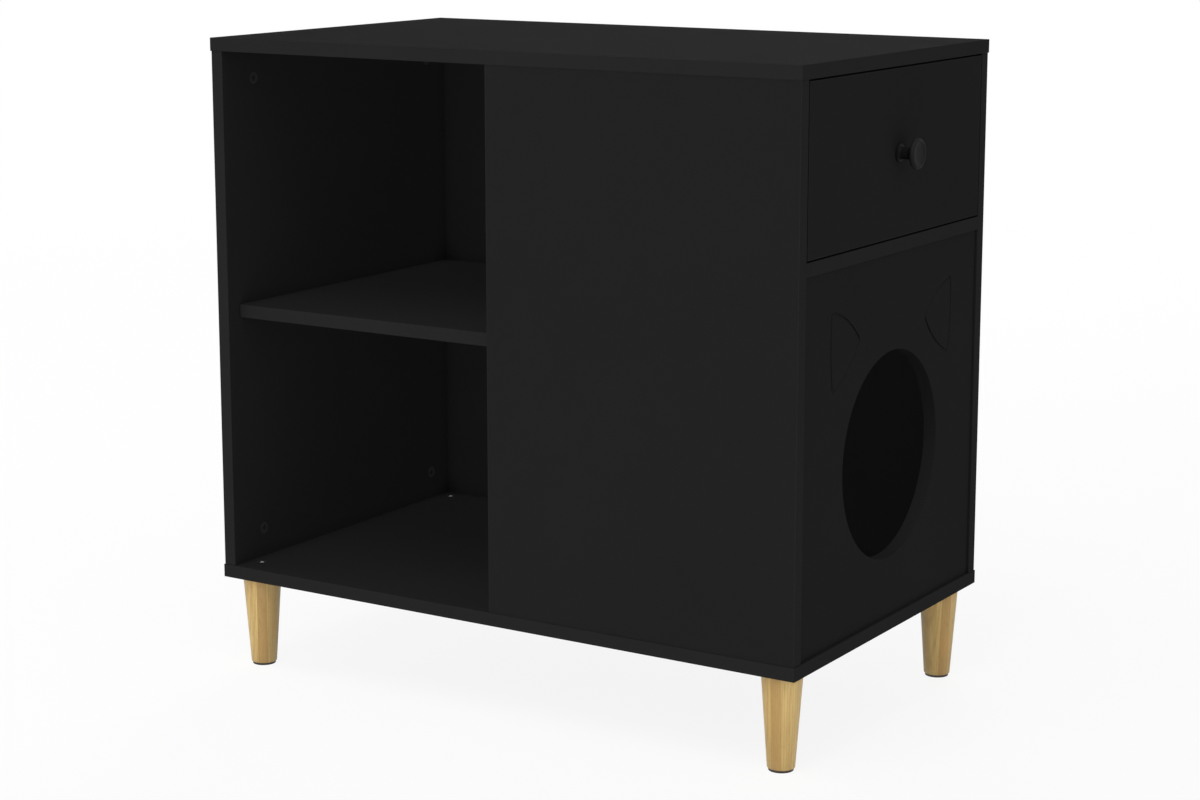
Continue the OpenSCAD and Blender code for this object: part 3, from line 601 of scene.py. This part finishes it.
low, high = box_of("drawer_bottom")
pressed = Finish(bpy.data.materials.new("hardboard"))
pressed_place = pressed.place((low + high) / 2)
under = pressed.apart(pressed_place)[2] < (high[2] - low[2]) / 2 - FILM_T
fibres = pressed.noise(pressed_place, 850.0, 4.0, 0.7)
bare = pressed.blend(fibres.rise(0.35, 0.65), FIBRE_DARK, FIBRE_PALE)
film = pressed.blend(fibres.rise(0.35, 0.75), FILM_DARK, FILM_PALE)
pressed_colour = pressed.blend(under, film, bare)
pressed_normal = pressed.bump(fibres * (0.3 + under), 0.0001, 0.6)
dress("drawer_bottom", pressed.surface(Base_Color=pressed_colour, Roughness=0.5 + 0.3 * under,
                                       Normal=pressed_normal, Specular=BOARD_SHEEN))


# The knob, turned in one piece and sprayed satin black: a flared foot, a slim neck and a wide head
# whose face is dished inside a round rim. A pan-head screw holds it from inside the drawer.
KNOB_R = 0.01675
KNOB_NECK_R = 0.0065
KNOB_FOOT_R = 0.010
KNOB_FOOT_T = 0.0015
KNOB_RIM = 0.003
KNOB_DISH = 0.0014
KNOB_BORE_R = 0.0021
KNOB_BORE_DEEP = 0.0141
SPRAYED_DARK = (0.0122, 0.0122, 0.0124)
SPRAYED_PALE = (0.0156, 0.0156, 0.0158)
KNOB_SHADE_REACH = 0.03


def knob_profile(reach):
    """Foot, hollow flare, neck, flare, rim and dish, as points of radius and height. The face rises
    from the dish's floor to the rim with the fourth power of the radius."""
    hollow = KNOB_FOOT_R - KNOB_NECK_R
    flare = KNOB_R - KNOB_RIM - KNOB_NECK_R
    foot = rounding(KNOB_FOOT_R, KNOB_FOOT_T + hollow, hollow, sweep(270, 180, 12))
    back = rounding(KNOB_NECK_R + flare, reach - 2 * KNOB_RIM - flare, flare, sweep(180, 90, 16))
    rim = rounding(KNOB_R - KNOB_RIM, reach - KNOB_RIM, KNOB_RIM, sweep(-90, 125, 28))
    floor = reach - KNOB_DISH
    inner = np.linspace(rim[-1, 0], 0, 14)[1:]
    dish = floor + (rim[-1, 1] - floor) * (inner / rim[-1, 0]) ** 4
    face = np.stack([inner, dish], 1)
    bore = [(0, KNOB_BORE_DEEP), (KNOB_BORE_R, KNOB_BORE_DEEP), (KNOB_BORE_R, 0), (KNOB_FOOT_R, 0)]
    return np.concatenate([bore, foot, back, rim, face])


low, high = box_of("drawer_knob")
middle = (low + high) / 2
knob = turned("turned_knob", knob_profile(high[0] - low[0]), (low[0], middle[1], middle[2]), (1, 0, 0))
sprayed = Finish(bpy.data.materials.new("satin_black"))
sprayed_place = sprayed.place()
sprayed_mist = sprayed.noise(sprayed_place, 1300.0, 2.0, 0.6)
sprayed_cloud = sprayed.noise(sprayed_place, 70.0)
sprayed_coat = sprayed.blend(sprayed_cloud, SPRAYED_DARK, SPRAYED_PALE)
# Painted shade: the coat darkens at the foot and neck, where the drawer front and the head stand within
# KNOB_SHADE_REACH.
knob_unshaded = sprayed.clear(KNOB_SHADE_REACH).rise(0.35, 0.95)
knob_tone_with_shade = sprayed.scaled(sprayed_coat, 0.20 + 0.80 * knob_unshaded)
sprayed_normal = sprayed.bump(sprayed_mist, 0.00002, 0.5)
knob.data.materials.append(sprayed.surface(Base_Color=knob_tone_with_shade, Roughness=0.42 + 0.1 * sprayed_mist,
                                           Normal=sprayed_normal, Specular=0.015))
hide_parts("drawer_knob")
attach(knob, "drawer")
dress("knob_screw", bright_zinc)


# The studio: a pale floor that turns white well away from the cabinet, and white all round it. Soft
# lamps stand in front, low and high, overhead, behind and on the left, and one very wide light casts
# no shadow, because the photograph's open bay and cat room are as evenly lit as that.
FLOOR_R = 40.0
FLOOR_TONE = 0.90
# The share of pure white that the floor shows near the cabinet, and where that rises to all of it.
FLOOR_WHITE = 0.82
FLOOR_FADE = (0.9, 4.5)
AMBIENT = 0.16
LAMP_SIZE = 2.0
LAMPS_AIM = (0, 0, 0.4)
FILL_FROM = (1.08, -1.00, 1.50)
FILL_SPREAD = 70
FILL_STRENGTH = 2.10


def background(finish):
    """1 where a ray would show the background itself: from the camera, a mirror or clear glass."""
    rays = [finish.node("ShaderNodeLightPath", None, None, f"Is {kind} Ray")
            for kind in ("Camera", "Glossy", "Transmission")]
    return rays[0].either(rays[1]).either(rays[2])


world = bpy.data.worlds.new("studio")
bpy.context.scene.world = world
air = Finish(world)
soft = air.node("ShaderNodeBackground", None, {"Color": (1, 1, 1, 1), "Strength": AMBIENT})
white = air.node("ShaderNodeBackground", None, {"Color": (1, 1, 1, 1), "Strength": 1.0})
shown = air.node("ShaderNodeMixShader", None, {0: background(air), 1: soft, 2: white})
air.node("ShaderNodeOutputWorld", None, {"Surface": shown})

ground = Finish(bpy.data.materials.new("studio_floor"))
x, y = ground.apart(ground.place())[:2]
far = ((x * x + y * y) ** 0.5).rise(*FLOOR_FADE)
paper = ground.node("ShaderNodeBsdfDiffuse", None, {"Color": (FLOOR_TONE, FLOOR_TONE, FLOOR_TONE, 1)})
glow = ground.node("ShaderNodeEmission", None, {"Color": (1, 1, 1, 1), "Strength": 1.0})
share = background(ground) * (FLOOR_WHITE + (1 - FLOOR_WHITE) * far)
paper_seen = ground.node("ShaderNodeMixShader", None, {0: share, 1: paper, 2: glow})
ground.node("ShaderNodeOutputMaterial", None, {"Surface": paper_seen})
floor_rings = np.array([0, 0.5, 2, 8, FLOOR_R])[:, None]
floor_angle = np.linspace(0, 2 * np.pi, 96, endpoint=False)[None, :]
floor_x = floor_rings * np.cos(floor_angle)
floor_y = floor_rings * np.sin(floor_angle)
studio_floor = woven("studio_floor", [np.stack([floor_x, floor_y, 0 * floor_x], -1)])
studio_floor.data.materials.append(ground.owner)


def lamp(name, spot, power):
    """A square soft lamp that faces the middle of the cabinet."""
    light = bpy.data.objects.new(name, bpy.data.lights.new(name, "AREA"))
    light.data.size = LAMP_SIZE
    light.data.energy = power
    light.location = spot
    aim = Vector(LAMPS_AIM) - light.location
    light.rotation_euler = aim.to_track_quat("-Z", "Y").to_euler()
    bpy.context.scene.collection.objects.link(light)


lamp("front_lamp", (0.0, -4.18, 1.0), 28)
lamp("high_lamp", (0.0, -2.1, 4.04), 32)
lamp("top_lamp", (0.4, -0.2, 4.6), 9)
lamp("back_lamp", (-1.2, 3.4, 2.4), 34)
lamp("left_lamp", (-3.9, -0.9, 1.3), 44)
fill = bpy.data.objects.new("fill", bpy.data.lights.new("fill", "SUN"))
fill.data.energy = FILL_STRENGTH
fill.data.angle = math.radians(FILL_SPREAD)
fill.data.use_shadow = False
fill.rotation_euler = Vector(FILL_FROM).to_track_quat("Z", "Y").to_euler()
bpy.context.scene.collection.objects.link(fill)


# The camera stands where the photograph's did. The photograph was straightened by sliding its lens;
# here most of that is a downward tilt, so that the other views keep the cabinet in frame.
CAMERA_AT = (1.5696, -2.5013, 0.9409)
CAMERA_DOWN = 10.593
CAMERA_TURN = 32.251
LENS = 78.12
LENS_SHIFT = -0.045

camera = bpy.data.objects.new("camera", bpy.data.cameras.new("camera"))
bpy.context.scene.collection.objects.link(camera)
camera.data.sensor_width = 36.0
camera.data.lens = LENS
camera.data.shift_y = LENS_SHIFT
camera.data.clip_end = 200.0
camera.location = CAMERA_AT
camera.rotation_euler = (math.radians(90 - CAMERA_DOWN), 0, math.radians(CAMERA_TURN))
bpy.context.scene.camera = camera
bpy.context.scene.view_settings.view_transform = "Standard"
